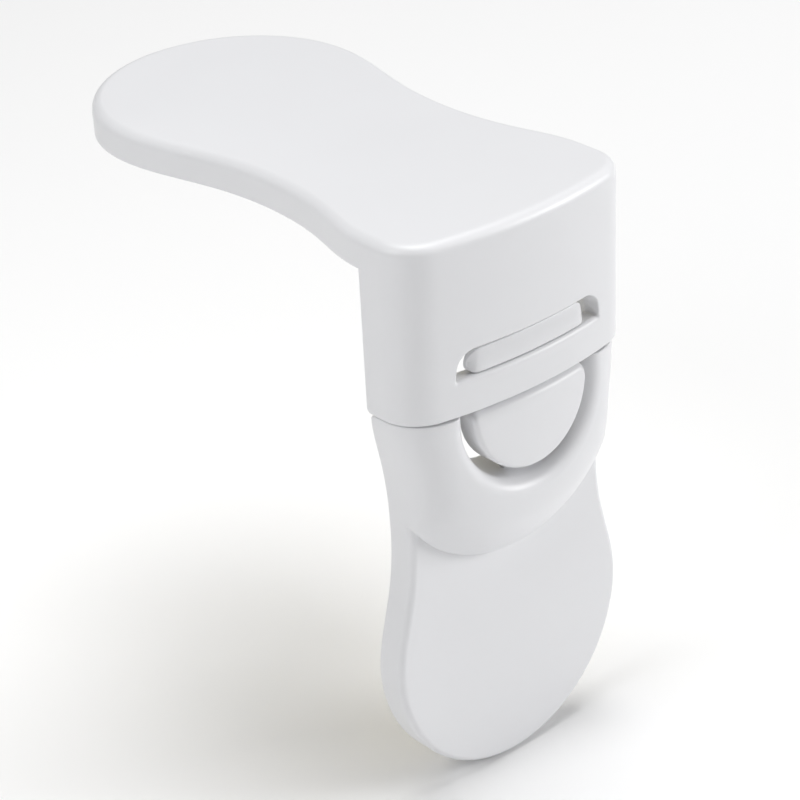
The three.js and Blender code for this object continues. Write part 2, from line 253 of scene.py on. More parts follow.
class Skin:
    """Patches of points and flat faces that are welded into one closed mesh."""

    def __init__(self):
        self.points, self.faces, self.count = [], [], 0

    def grid(self, rows, around=False, skip=None):
        """Quads over an array of points (rows, columns, 3); `around` joins the last column to the first."""
        rows = np.asarray(rows, float)
        r, c = rows.shape[:2]
        index = np.arange(r * c).reshape(r, c) + self.count
        if around:
            index = np.column_stack([index, index[:, :1]])
        quads = np.stack([index[:-1, :-1], index[:-1, 1:], index[1:, 1:], index[1:, :-1]], -1)
        if skip is not None:
            quads = quads[~skip]
        self.points.append(rows.reshape(-1, 3))
        self.faces += quads.reshape(-1, 4).tolist()
        self.count += r * c

    def flat(self, loop):
        """One flat face over a loop of points."""
        self.points.append(np.asarray(loop, float))
        self.faces.append(list(range(self.count, self.count + len(loop))))
        self.count += len(loop)

    def build(self, name):
        """Welded mesh in the frame, faces outwards and smooth."""
        mesh = bpy.data.meshes.new(name)
        mesh.from_pydata(place(np.concatenate(self.points)).tolist(), [], self.faces)
        piece = bpy.data.objects.new(name, mesh)
        bpy.context.scene.collection.objects.link(piece)
        work = bmesh.new()
        work.from_mesh(mesh)
        bmesh.ops.remove_doubles(work, verts=work.verts, dist=WELD)
        bmesh.ops.dissolve_degenerate(work, edges=work.edges, dist=SLIVER)
        bmesh.ops.recalc_face_normals(work, faces=work.faces)
        for face in work.faces:
            face.smooth = True
        work.to_mesh(mesh)
        work.free()
        return piece


def soften(piece):
    """Smooth shading, split at sharp edges, with flat faces ruling their borders."""
    piece.data.set_sharp_from_angle(angle=np.radians(SHARP_ANGLE))
    weighted = piece.modifiers.new("face weights", "WEIGHTED_NORMAL")
    weighted.keep_sharp = True
    weighted.weight = 70
    return piece


# ---------------------------------------------------------------- bracket

def front_path():
    """Plan of the skirt from the right back corner to the left: side, round corner and bowed face, with its
    lengths."""
    turn = np.arccos((HALF - CORNER) / (BOW - CORNER))
    centre_y = -DEPTH + BOW - (BOW - CORNER) * np.sin(turn)
    side = np.column_stack([np.full(80, HALF), np.linspace(0, centre_y, 80)])
    a = np.linspace(0, turn, 160)[1:]
    corner = np.column_stack([HALF - CORNER + CORNER * np.cos(a), centre_y - CORNER * np.sin(a)])
    b = np.linspace(turn, np.pi / 2, 400)[1:]
    face = np.column_stack([BOW * np.cos(b), -DEPTH + BOW - BOW * np.sin(b)])
    right = np.concatenate([side, corner, face])
    path = np.concatenate([right, right[-2::-1] * (-1, 1)])
    length = np.r_[0, np.cumsum(np.linalg.norm(np.diff(path, axis=0), axis=1))]
    return path, -normals(path, closed=False), length


FRONT, FRONT_OUT, FRONT_LENGTH = front_path()
FULL = FRONT_LENGTH[-1]
MIDDLE = FULL / 2
FACE_HALF = BOW * np.arcsin((HALF - CORNER) / (BOW - CORNER))


def on_wall(s, z, inset):
    """Skirt wall: the point at length s along the plan, `inset` behind its outer face, at height z, leaned back by
    the draft. Before the path's start and past its end it runs straight on."""
    s, z, inset = np.broadcast_arrays(np.asarray(s, float), z, inset)
    inside = np.clip(s, 0, FULL)
    x = np.interp(inside, FRONT_LENGTH, FRONT[:, 0])
    y = np.interp(inside, FRONT_LENGTH, FRONT[:, 1]) + np.abs(s - inside)
    nx = np.interp(inside, FRONT_LENGTH, FRONT_OUT[:, 0])
    ny = np.interp(inside, FRONT_LENGTH, FRONT_OUT[:, 1])
    size = np.hypot(nx, ny)
    x = x - inset * nx / size
    y = y - inset * ny / size
    return lean(np.stack([x, y, z], -1))


def lean(points):
    """The front leans back towards the seam: depth shrinks in proportion to the height below the top."""
    points = np.array(points, float)
    share = DRAFT / DEPTH * (1 - points[..., 2] / TOP)
    points[..., 1] = np.where(points[..., 1] < 0, points[..., 1] * (1 - share), points[..., 1])
    return points


def heel(s, z):
    """Rounds the wall's lower back corners: the square there is drawn in to a quarter disc by the ratio of its
    greatest to its straight-line distance from the corner's centre."""
    radius = HEEL
    a = np.minimum(s, FULL - s)
    qa = np.clip((radius - a) / (radius - EDGE), 0, None)
    qb = np.clip((radius - z) / (radius - EDGE), 0, None)
    both = (qa > 0) & (qb > 0)
    ratio = np.where(both, np.maximum(qa, qb) / np.maximum(np.hypot(qa, qb), 1e-9), 1)
    new_a = np.where(both, radius - qa * ratio * (radius - EDGE), a)
    new_z = np.where(both, radius - qb * ratio * (radius - EDGE), z)
    return np.where(s < FULL / 2, new_a, FULL - new_a), new_z


def slot_rim(toward):
    """Nearest point of the slot's outline to each given point, and the direction from one to the other: a box with
    round corners, larger at the top than at the foot."""
    x, z = toward[:, 0], toward[:, 1]
    corner = np.where(z > (SLOT_LOW + SLOT_HIGH) / 2, SLOT_CORNER, SLOT_FOOT_CORNER)
    half = SLOT_HALF - corner
    cx = np.clip(x, -half, half)
    cz = np.clip(z, SLOT_LOW + SLOT_FOOT_CORNER, SLOT_HIGH - SLOT_CORNER)
    away = np.column_stack([x - cx, z - cz])
    size = np.linalg.norm(away, axis=1, keepdims=True)
    away = away / np.maximum(size, 1e-9)
    return np.column_stack([cx, cz]) + away * corner[:, None], away


def bracket_shell():
    """Skirt wall with its slot and rounded free edge, top plate with a rounded rim, and the flat inner faces."""
    skin = Skin()
    across = np.linspace(-PATCH_HALF, PATCH_HALF, 81)
    patch_z = np.linspace(PATCH_LOW, PATCH_HIGH, 21)
    heel_steps = np.r_[EDGE, 0.35, 0.5, 0.65, 0.82, HEEL]
    columns = np.r_[heel_steps, 1.6, 2.4, 3.2, np.linspace(4.0, MIDDLE - FACE_HALF, 22)]
    s = np.unique(np.round(np.r_[columns, MIDDLE + across, FULL - columns], 6))
    z_rows = np.r_[heel_steps, 1.8, 2.7, patch_z, np.linspace(13.6, UNDERSIDE, 10)]

    # wall: a lattice outside and inside, left open round the slot
    mid_s, mid_z = (s[:-1] + s[1:]) / 2, (z_rows[:-1] + z_rows[1:]) / 2
    skip = ((mid_z > PATCH_LOW) & (mid_z < PATCH_HIGH))[:, None] & (np.abs(mid_s - MIDDLE) < PATCH_HALF)
    skin.grid(on_wall(*heel(*np.meshgrid(s, z_rows)), 0), skip=skip)
    inner_z = np.r_[z_rows, np.linspace(UNDERSIDE, CEILING, 4)[1:]]
    inner_skip = np.zeros((len(inner_z) - 1, len(s) - 1), bool)
    inner_skip[: len(z_rows) - 1] = skip
    skin.grid(on_wall(*heel(*np.meshgrid(s, inner_z)), WALL), skip=inner_skip)

    # slot: a band from the lattice to the rim, the rounded rim, the tunnel and the same inside
    ring = np.concatenate([
        np.column_stack([across[:-1], np.full(80, PATCH_LOW)]),
        np.column_stack([np.full(20, PATCH_HALF), patch_z[:-1]]),
        np.column_stack([across[:0:-1], np.full(80, PATCH_HIGH)]),
        np.column_stack([np.full(20, -PATCH_HALF), patch_z[:0:-1]]),
    ])
    rim, away = slot_rim(ring)
    lip = (EDGE + (SLOT_LIP - EDGE) * np.clip(-away[:, 1], 0, 1))[:, None]
    sin, cos = quarter(7)
    bend = [(ring + (rim + away * lip - ring) * t, 0) for t in (0, 0.3, 0.6, 0.85, 1)]
    bend += [(rim + away * lip * (1 - sin[k]), lip[:, 0] * (1 - cos[k])) for k in range(1, 7)]
    sin, cos = quarter(5)
    bend += [(rim + away * EDGE * (1 - cos[k]), WALL - EDGE * (1 - sin[k])) for k in range(1, 5)]
    bend += [(ring + (rim + away * EDGE - ring) * t, WALL) for t in (0.85, 0.6, 0.3, 0)]
    skin.grid([on_wall(MIDDLE + p[:, 0], p[:, 1], inset) for p, inset in bend], around=True)

    # free edge: up one back edge, round the heel, along the seam and up the other side
    near = np.column_stack([np.full(len(z_rows), s[0]), z_rows])[::-1]
    foot = np.column_stack([s, np.full(len(s), EDGE)])[1:-1]
    far = np.column_stack([np.full(len(z_rows), s[-1]), z_rows])
    run = np.concatenate([near, foot, far])
    run = np.column_stack(heel(run[:, 0], run[:, 1]))
    out = normals(run, closed=False)
    out[[0, -1]] = [(-1, 0), (1, 0)]
    bend = [(run + out * EDGE * sin[k], EDGE * (1 - cos[k])) for k in range(5)]
    bend += [(p, WALL - inset) for p, inset in bend[::-1]]
    ribbon = np.array([on_wall(p[:, 0], p[:, 1], inset) for p, inset in bend])
    skin.grid(ribbon)

    # rim of the plate: up from the underside, round the edge and in over the top
    lobe_right = lobe(HALF, PLATE_WAIST, PLATE_LOBE, PLATE_END, 110)
    wall_plan = on_wall(s, TOP, 0)[:, :2]
    loop = np.concatenate([wall_plan, (lobe_right * (-1, 1))[:-1], lobe_right[::-1]])
    out = normals(loop)
    centre = np.column_stack([np.zeros(len(loop)), np.clip(loop[:, 1], 0, PLATE_END - HALF)])
    out *= np.sign(np.sum(out * (loop - centre), axis=1, keepdims=True))
    sin, cos = quarter(11)
    bend = [(0, z) for z in np.linspace(UNDERSIDE, TOP - TOP_ROUND, 6)]
    bend += [(TOP_ROUND * (1 - cos[k]), TOP - TOP_ROUND * (1 - sin[k])) for k in range(1, 11)]
    bend += [(TOP_ROUND + RIM_BORDER, TOP)]
    rows = [lean(np.column_stack([loop - out * inset, np.full(len(loop), z)])) for inset, z in bend]
    skin.grid(rows, around=True)
    skin.flat(rows[-1])

    # flat faces: underside of the plate, ceiling of the hollow, and the step between them
    skin.flat(np.concatenate([rows[0][len(wall_plan):], ribbon[:, 0], ribbon[::-1, -1]]))
    skin.flat(on_wall(s, CEILING, WALL))
    step = np.linspace(UNDERSIDE, CEILING, 4)
    skin.flat(np.concatenate([on_wall(s[0], step, WALL), on_wall(s[-1], step, WALL)[::-1]]))
    return soften(skin.build("bracket"))


# ---------------------------------------------------------------- base

def smooth_least(a, b, k):
    """Smaller of two values, rounded off where they are within k of each other."""
    h = np.clip(0.5 + 0.5 * (b - a) / k, 0, 1)
    return b + (a - b) * h - k * h * (1 - h)


def smooth_most(a, b, k):
    """Larger of two values, rounded in the same way."""
    return -smooth_least(-a, -b, k)


def ease(t):
    """Smooth step from 0 to 1."""
    t = np.clip(t, 0, 1)
    return t * t * (3 - 2 * t)


def path_distance(points, path):
    """Distance of each point from a path: the nearest of the path's straight pieces, found from its nearest
    point."""
    flat = points.reshape(-1, 2)
    nearest = np.empty(len(flat), int)
    for part in np.array_split(np.arange(len(flat)), 40):
        nearest[part] = ((flat[part, None] - path[None]) ** 2).sum(-1).argmin(1)
    best = np.full(len(flat), np.inf)
    for step in (-1, 0):
        k = np.clip(nearest + step, 0, len(path) - 2)
        run = path[k + 1] - path[k]
        t = np.clip(((flat - path[k]) * run).sum(-1) / (run**2).sum(-1), 0, 1)
        best = np.minimum(best, np.linalg.norm(flat - path[k] - t[:, None] * run, axis=1))
    return best.reshape(points.shape[:-1])


def base_depth(x, z, side, outline):
    """Depth of the base's front from its back face: the block's bowed plan with round corners, cut by the chin
    dome round a point under the notch, joined to the pad with its rounded rim, and rounded into the notch."""
    ax = np.abs(x)
    half = np.interp(-z, side[:, 1], side[:, 0])
    corner = BLOCK_CORNER
    deepest = BLOCK - BLOCK_LEAN * z
    centre = deepest - BOW + np.sqrt((BOW - corner) ** 2 - (half - corner) ** 2)
    tangent = BOW * (half - corner) / (BOW - corner)
    bowed = deepest - BOW + np.sqrt(BOW**2 - np.minimum(ax, tangent) ** 2)
    rounded = centre + np.sqrt(np.clip(corner**2 - np.clip(ax - (half - corner), 0, corner) ** 2, 0, None))
    plan = np.where(ax < tangent, bowed, rounded)
    out = np.hypot(x, np.minimum(0, z + CHIN_CENTRE))
    run = np.clip(out - CHIN_FLAT, 0, CHIN_CURVE)
    lip = np.clip(out - CHIN_RADIUS + CHIN_LIP, 0, CHIN_LIP)
    chin = CHIN_DEPTH - CHIN_CURVE + np.sqrt(CHIN_CURVE**2 - run**2) - CHIN_LIP + np.sqrt(CHIN_LIP**2 - lip**2)
    chin = np.where(out > CHIN_RADIUS, 0, chin)
    block = smooth_least(plan, chin, CHIN_BLEND)
    away = path_distance(np.stack([x, z], -1), outline)
    radius = PAD_ROUND + RIM_SPREAD * ease((z + RIM_SPREAD_FROM) / RIM_SPREAD_RUN)
    in_rim = np.clip(away, 0, radius)
    pad = PAD - radius + np.sqrt(radius**2 - (radius - in_rim) ** 2)
    depth = smooth_most(block, pad, CREASE_BLEND)
    notch = np.where(z > NOTCH_CENTRE, ax, np.hypot(x, z - NOTCH_CENTRE)) - NOTCH
    near = np.clip(NOTCH_ROUND - notch, 0, NOTCH_ROUND)
    return depth - (NOTCH_ROUND - np.sqrt(NOTCH_ROUND**2 - near**2))


def base_shell():
    """The base as a thick plate between the notch and its outline: lines run from the notch's rim to the outline,
    the front's depth is a function of place, and side walls join it to the flat back."""
    skin = Skin()
    start = -GAP - EDGE
    side = lobe(BASE_TOP, BASE_WAIST, BASE_LOBE, BASE_END, 600)
    outer_right = side[side[:, 1] > -start]
    outer_right = np.vstack([(np.interp(-start, side[:, 1], side[:, 0]), -start), outer_right])
    outer = np.concatenate([outer_right, outer_right[-2::-1] * (-1, 1)]) * (1, -1)
    straight = np.column_stack([np.full(20, NOTCH), np.linspace(start, NOTCH_CENTRE, 20)])
    a = np.linspace(0, np.pi, 300)[1:-1]
    bend = np.column_stack([NOTCH * np.cos(a), NOTCH_CENTRE - NOTCH * np.sin(a)])
    inner = np.concatenate([straight, bend, straight[::-1] * (-1, 1)])
    outer, inner = evenly(outer, BASE_LINES), evenly(inner, BASE_LINES)
    out_n, in_n = normals(outer, closed=False), normals(inner, closed=False)
    out_n *= np.sign(np.sum(out_n * (outer - (0, -30)), axis=1, keepdims=True))
    out_n[[0, -1]] = [(1, 0), (-1, 0)]
    in_n *= np.sign(np.sum(in_n * ((0, NOTCH_CENTRE) - inner), axis=1, keepdims=True))
    in_n[[0, -1]] = [(-1, 0), (1, 0)]
    ray = outer - inner
    start_at = inner - (0, -CHIN_CENTRE)
    a, b, c = (ray**2).sum(1), (start_at * ray).sum(1), (start_at**2).sum(1) - CHIN_RADIUS**2
    crease = np.clip((-b + np.sqrt(b * b - a * c)) / a, 0, CREASE_LIMIT)
    crease = np.where(inner[:, 1] + crease * ray[:, 1] < -CHIN_CENTRE, crease, CREASE_LIMIT)
    dome, pad = bunched(80), bunched(60)
    v = np.concatenate([dome[:, None] * crease, crease + pad[1:, None] * (1 - crease)])
    xz = inner[None] + v[:, :, None] * ray[None]
    depth = base_depth(xz[..., 0], xz[..., 1], side, outer)
    front = np.stack([xz[..., 0], -depth, xz[..., 1]], -1)
    sin, cos = quarter(6)

    def wall(path, out, first, back_round):
        """Side wall from the front's edge straight back, and round into the flat back face."""
        rows = [np.column_stack([path[:, 0], -first * (1 - t) - back_round * t, path[:, 1]])
                for t in np.linspace(0, 1, 7)]
        for k in range(1, 6):
            p = path - out * back_round * (1 - cos[k])
            rows.append(np.column_stack([p[:, 0], np.full(len(p), -back_round * (1 - sin[k])), p[:, 1]]))
        return np.array(rows)

    outer_wall = wall(outer, out_n, depth[-1], BASE_BACK_ROUND)
    inner_wall = wall(inner, in_n, depth[0], NOTCH_BACK_ROUND)
    loop = np.concatenate([front[:-1], outer_wall, inner_wall[::-1][:-1]])
    back = np.concatenate([outer_wall[-1], inner_wall[-1][::-1]])
    for end in (0, -1):
        section = loop[:, end]
        plan = section[:, :2]
        out = normals(plan)
        middle = plan.mean(0)
        out *= np.sign(np.sum(out * (plan - middle), axis=1).sum())
        rows = [section]
        for k in range(1, 6):
            p = plan - out * EDGE * (1 - cos[k])
            rows.append(np.column_stack([p, np.full(len(p), start + EDGE * sin[k])]))
        skin.grid(rows, around=True)
        skin.flat(rows[-1])
    skin.grid(front)
    skin.grid(outer_wall)
    skin.grid(inner_wall)
    skin.flat(back)
    for k, points in enumerate(skin.points):
        depth_in = -points[:, 1]
        drop = HEEL - np.sqrt(HEEL**2 - np.clip(HEEL - depth_in, 0, HEEL) ** 2)
        share = ease((points[:, 2] + SHOULDER) / (SHOULDER - GAP))
        skin.points[k] = points - (drop * share)[:, None] * (0, 0, 1)
    return soften(skin.build("base"))


# ---------------------------------------------------------------- tongue and spring

INWARD = (0.05, 0.12, 0.22, 0.34, 0.48, 0.64, 0.8, 0.92, 1)


def rounded_plate(skin, outline, back, front_at, front_round, back_round, middle):
    """Plate over an outline in x and z: the back edge and the front edge are quarter rounds, and the front face
    runs in to its middle with its depth a function of place."""
    out = normals(outline)
    out *= np.sign(np.sum(out * (outline - outline.mean(0))))
    sin, cos = quarter(8)
    rows = []
    for k in range(8):
        p = outline - out * back_round * (1 - sin[k])
        rows.append(np.column_stack([p[:, 0], np.full(len(p), back - back_round * (1 - cos[k])), p[:, 1]]))
    for k in range(8):
        p = outline - out * front_round * (1 - cos[k])
        edge = front_at(p[:, 0], p[:, 1])
        rows.append(np.column_stack([p[:, 0], edge + front_round * (1 - sin[k]), p[:, 1]]))
    rim = outline - out * front_round
    for t in INWARD:
        p = rim + (middle - rim) * t
        rows.append(np.column_stack([p[:, 0], front_at(p[:, 0], p[:, 1]), p[:, 1]]))
    skin.grid(rows, around=True)
    skin.flat(rows[0])


def round_box(x0, x1, z0, z1, radius, steps=8):
    """Outline of a box with round corners, counter-clockwise, with points along its sides."""
    a = np.linspace(0, np.pi / 2, steps)
    corners = []
    for cx, cz, turn in ((x1, z0, -np.pi / 2), (x1, z1, 0), (x0, z1, np.pi / 2), (x0, z0, np.pi)):
        mx = cx - radius * np.sign(cx - (x0 + x1) / 2)
        mz = cz - radius * np.sign(cz - (z0 + z1) / 2)
        corners.append(np.column_stack([mx + radius * np.cos(a + turn), mz + radius * np.sin(a + turn)]))
    loop = np.concatenate(corners)
    return evenly(np.vstack([loop, loop[:1]]), 161)[:-1]


def press_outline():
    """Half disc with a straight top and round top corners, counter-clockwise from its right end."""
    a = np.linspace(0, np.pi / 2, 12)
    high = PRESS_TOP - PRESS_CORNER
    right = np.column_stack([PRESS - PRESS_CORNER + PRESS_CORNER * np.cos(a), high + PRESS_CORNER * np.sin(a)])
    left = right[::-1] * (-1, 1)
    b = np.linspace(np.pi, 2 * np.pi, 120)[1:-1]
    bowl = np.column_stack([PRESS * np.cos(b), PRESS_CENTRE + PRESS * np.sin(b)])
    bowl[:, 1] = np.minimum(bowl[:, 1], high)
    loop = np.concatenate([right, left, bowl])
    return evenly(np.vstack([loop, loop[:1]]), 261)[:-1]


def latch_tongue():
    """Press pad bowed like the block's front and leaned back at its top edge, with the neck that runs up behind the
    bridge strip."""
    skin = Skin()

    def pad_front(x, z):
        """Bowed face that leans back over its top strip by the square of the height in it."""
        top = np.clip((z - PRESS_TOP + PRESS_LEAN_STRIP) / PRESS_LEAN_STRIP, 0, 1)
        return BOW - PRESS_FACE - np.sqrt(BOW**2 - x**2) + PRESS_LEAN * top**2

    rounded_plate(
        skin, press_outline(), PRESS_BACK, pad_front, PRESS_FRONT_ROUND, PRESS_BACK_ROUND,
        np.array([0, PRESS_TOP - 5]),
    )
    rounded_plate(
        skin, round_box(-NECK_HALF, NECK_HALF, -4, BAR_HIGH, 0.8), NECK_BACK,
        lambda x, z: np.full(len(x), NECK_FRONT), 0.3, 0.3, np.array([0, 3.0]),
    )
    return soften(skin.build("press_tongue"))


def bar_outline():
    """Bar's outline: small lower corners, and upper corners round like the slot's."""
    loop = []
    corners = (
        (1, True, -np.pi / 2, BAR_FOOT_CORNER), (1, False, 0, BAR_HEAD_CORNER),
        (-1, False, np.pi / 2, BAR_HEAD_CORNER), (-1, True, np.pi, BAR_FOOT_CORNER),
    )
    for side, foot, turn, radius in corners:
        a = np.linspace(0, np.pi / 2, 10) + turn
        middle = BAR_LOW + radius if foot else BAR_HIGH - radius
        loop.append(np.column_stack([side * (BAR_HALF - radius) + radius * np.cos(a), middle + radius * np.sin(a)]))
    loop = np.concatenate(loop)
    return evenly(np.vstack([loop, loop[:1]]), 241)[:-1]


def bar_nose(x, z):
    """Depth of the bar's front: it leans back from foot to head, bows with the skirt and falls away in a round at
    both ends."""
    end = np.clip(np.abs(x) - BAR_HALF + BAR_END, 0, BAR_END)
    head = np.clip((z - BAR_LOW) / (BAR_HIGH - BAR_LOW), 0, 1)
    return BAR_NOSE + BAR_LEAN * head**1.5 + x**2 / (2 * BOW) + BAR_END - np.sqrt(BAR_END**2 - end**2)


def bar_rows():
    """Rows from the bar's back edge over its sides and its soft front edge to the middle of its front."""
    outline = bar_outline()
    out = normals(outline)
    out *= np.sign(np.sum(out * (outline - outline.mean(0))))
    sin, cos = quarter(7)
    edge = bar_nose(outline[:, 0] * BAR_FALL, outline[:, 1]) + EDGE
    rows = [np.column_stack([outline[:, 0], BAR_BACK + (edge - BAR_BACK) * t, outline[:, 1]])
            for t in np.linspace(0, 1, 5)]
    for k in range(1, 7):
        p = outline - out * EDGE * (1 - cos[k])
        front = bar_nose(outline[:, 0] * BAR_FALL, p[:, 1]) + EDGE * (1 - sin[k])
        rows.append(np.column_stack([p[:, 0], front, p[:, 1]]))
    rim = outline - out * EDGE
    for t in INWARD:
        p = rim + (np.array([0, (BAR_LOW + BAR_HIGH) / 2]) - rim) * t
        front = bar_nose(p[:, 0] * (BAR_FALL + (1 - BAR_FALL) * t), p[:, 1])
        rows.append(np.column_stack([p[:, 0], front, p[:, 1]]))
    return np.array(rows)


def catch_bar():
    """Bar in the slot, with the plate that carries it on the neck."""
    skin = Skin()
    rows = bar_rows()
    skin.grid(rows, around=True)
    skin.flat(rows[0])
    rounded_plate(
        skin, round_box(0.2 - NECK_HALF, NECK_HALF - 0.2, BAR_LOW + 0.1, BAR_HIGH - 0.1, 0.6), NECK_FRONT + 0.3,
        lambda x, z: np.full(len(x), BAR_BACK - 0.3), 0.3, 0.1, np.array([0, (BAR_LOW + BAR_HIGH) / 2]),
    )
    return soften(skin.build("catch_bar_nose"))


def leaf_spring():
    """Strip carried up from its foot in the base to the back of the press pad: a squared-off ellipse in section,
    narrowed by half a sine wave where it bends."""
    skin = Skin()
    z = np.linspace(LEAF_LOW, LEAF_HIGH, 60)
    half = LEAF_HALF - LEAF_WAIST * np.sin(np.clip((z + 20) / 9, 0, 1) * np.pi)
    middle = PRESS_BACK + 0.02 + LEAF_THICK / 2
    turn = np.linspace(0, 2 * np.pi, 49)[:-1]
    cx = np.sign(np.cos(turn)) * np.abs(np.cos(turn)) ** LEAF_SQUARE
    cy = np.sign(np.sin(turn)) * np.abs(np.sin(turn)) ** LEAF_SQUARE
    rows = [np.column_stack([cx * h, middle + cy * LEAF_THICK / 2, np.full(48, q)]) for q, h in zip(z, half)]
    skin.grid(rows, around=True)
    skin.flat(rows[0])
    skin.flat(rows[-1])
    return soften(skin.build("leaf_strip"))


# ---------------------------------------------------------------- foam pads and liners

def sheet_piece(name, side, start, margin, low, high, turned, edge):
    """Flat pad over a lobe's outline drawn in by `margin`: square cut with slightly soft edges."""
    skin = Skin()
    inset = side - normals(side, closed=False) * margin
    root = start + margin
    first = [(np.interp(root, inset[:, 1], inset[:, 0]), root)]
    right = np.vstack([first, inset[(inset[:, 1] > root + 0.1) & (inset[:, 0] > 0.1)], [(0, inset[-1, 1])]])
    loop = np.concatenate([right, right[-2::-1] * (-1, 1)])
    loop = evenly(np.vstack([loop, loop[:1]]), 301)[:-1]
    out = normals(loop)
    out *= np.sign(np.sum(out * (loop - loop.mean(0))))
    sin, cos = quarter(4)
    rows = []
    for k in range(4):
        p = loop - out * edge * (1 - sin[k])
        rows.append(np.column_stack([p, np.full(len(p), low + edge * (1 - cos[k]))]))
    for k in range(4):
        p = loop - out * edge * (1 - cos[k])
        rows.append(np.column_stack([p, np.full(len(p), high - edge * (1 - sin[k]))]))
    rows = np.array(rows)
    if turned:
        rows = np.stack([rows[..., 0], rows[..., 2], -rows[..., 1]], -1)
    skin.grid(rows, around=True)
    skin.flat(rows[0])
    skin.flat(rows[-1])
    return soften(skin.build(name))


# ---------------------------------------------------------------- materials

def new_material(name):
    """An empty node material, with its nodes, its links and its shader."""
    material = bpy.data.materials.new(name)
    material.use_nodes = True
    nodes, links = material.node_tree.nodes, material.node_tree.links
    return material, nodes, links, nodes["Principled BSDF"]


def moulded_plastic(name, colour, roughness, seed):
    """White moulded plastic: slow shade drift, a fine mould texture and a slight waviness of the flat faces."""
    material, nodes, links, shader = new_material(name)
    place_node = nodes.new("ShaderNodeTexCoord")
    shift = nodes.new("ShaderNodeMapping")
    shift.inputs["Location"].default_value = (seed, 0.3 * seed, 0.7 * seed)
    links.new(place_node.outputs["Object"], shift.inputs["Vector"])
    drift = nodes.new("ShaderNodeTexNoise")
    drift.inputs["Scale"].default_value = 28
    drift.inputs["Detail"].default_value = 3
    links.new(shift.outputs["Vector"], drift.inputs["Vector"])
    tint = nodes.new("ShaderNodeValToRGB")
    tint.color_ramp.elements[0].position = 0.3
    tint.color_ramp.elements[0].color = (*[c * 0.985 for c in colour], 1)
    tint.color_ramp.elements[1].position = 0.7
    tint.color_ramp.elements[1].color = (*colour, 1)
    links.new(drift.outputs["Fac"], tint.inputs["Fac"])
    links.new(tint.outputs["Color"], shader.inputs["Base Color"])
    grain = nodes.new("ShaderNodeTexNoise")
    grain.inputs["Scale"].default_value = 2600
    grain.inputs["Detail"].default_value = 2
    links.new(shift.outputs["Vector"], grain.inputs["Vector"])
    gloss = nodes.new("ShaderNodeMapRange")
    gloss.inputs["To Min"].default_value = roughness - 0.04
    gloss.inputs["To Max"].default_value = roughness + 0.05
    links.new(drift.outputs["Fac"], gloss.inputs["Value"])
    links.new(gloss.outputs["Result"], shader.inputs["Roughness"])
    wave = nodes.new("ShaderNodeTexNoise")
    wave.inputs["Scale"].default_value = 75
    wave.inputs["Detail"].default_value = 1
    links.new(shift.outputs["Vector"], wave.inputs["Vector"])
    waves = nodes.new("ShaderNodeBump")
    waves.inputs["Strength"].default_value = 0.12
    waves.inputs["Distance"].default_value = 0.0004
    links.new(wave.outputs["Fac"], waves.inputs["Height"])
    fine = nodes.new("ShaderNodeBump")
    fine.inputs["Strength"].default_value = 0.08
    fine.inputs["Distance"].default_value = 0.00005
    links.new(grain.outputs["Fac"], fine.inputs["Height"])
    links.new(waves.outputs["Normal"], fine.inputs["Normal"])
    links.new(fine.outputs["Normal"], shader.inputs["Normal"])
    shader.inputs["IOR"].default_value = 1.5
    shader.inputs["Specular IOR Level"].default_value = 0.5
    return material


def foam(name, colour):
    """Closed-cell foam: small open cells on the cut edge and a matte surface."""
    material, nodes, links, shader = new_material(name)
    place_node = nodes.new("ShaderNodeTexCoord")
    cells = nodes.new("ShaderNodeTexVoronoi")
    cells.inputs["Scale"].default_value = 2200
    links.new(place_node.outputs["Object"], cells.inputs["Vector"])
    tint = nodes.new("ShaderNodeValToRGB")
    tint.color_ramp.elements[0].color = (*[c * 0.86 for c in colour], 1)
    tint.color_ramp.elements[1].color = (*colour, 1)
    tint.color_ramp.elements[1].position = 0.5
    links.new(cells.outputs["Distance"], tint.inputs["Fac"])
    links.new(tint.outputs["Color"], shader.inputs["Base Color"])
    pits = nodes.new("ShaderNodeBump")
    pits.inputs["Strength"].default_value = 0.5
    pits.inputs["Distance"].default_value = 0.0001
    links.new(cells.outputs["Distance"], pits.inputs["Height"])
    links.new(pits.outputs["Normal"], shader.inputs["Normal"])
    shader.inputs["Roughness"].default_value = 0.95
    return material


def liner(name, colour):
    """Release film: waxy, with faint creases and a shade that drifts."""
    material, nodes, links, shader = new_material(name)
    place_node = nodes.new("ShaderNodeTexCoord")
    crease = nodes.new("ShaderNodeTexNoise")
    crease.inputs["Scale"].default_value = 60
    crease.inputs["Detail"].default_value = 5
    crease.inputs["Distortion"].default_value = 0.6
    links.new(place_node.outputs["Object"], crease.inputs["Vector"])
    tint = nodes.new("ShaderNodeValToRGB")
    tint.color_ramp.elements[0].position = 0.35
    tint.color_ramp.elements[0].color = (*[c * 0.93 for c in colour], 1)
    tint.color_ramp.elements[1].position = 0.65
    tint.color_ramp.elements[1].color = (*colour, 1)
    links.new(crease.outputs["Fac"], tint.inputs["Fac"])
    links.new(tint.outputs["Color"], shader.inputs["Base Color"])
    folds = nodes.new("ShaderNodeBump")
    folds.inputs["Strength"].default_value = 0.25
    folds.inputs["Distance"].default_value = 0.0003
    links.new(crease.outputs["Fac"], folds.inputs["Height"])
    links.new(folds.outputs["Normal"], shader.inputs["Normal"])
    shader.inputs["Roughness"].default_value = 0.42
    return material


def pale_floor(name, colour):
    """Matt pale paint for the floor."""
    material, _, _, shader = new_material(name)
    shader.inputs["Base Color"].default_value = (*colour, 1)
    shader.inputs["Roughness"].default_value = 0.9
    return material


# ---------------------------------------------------------------- pieces

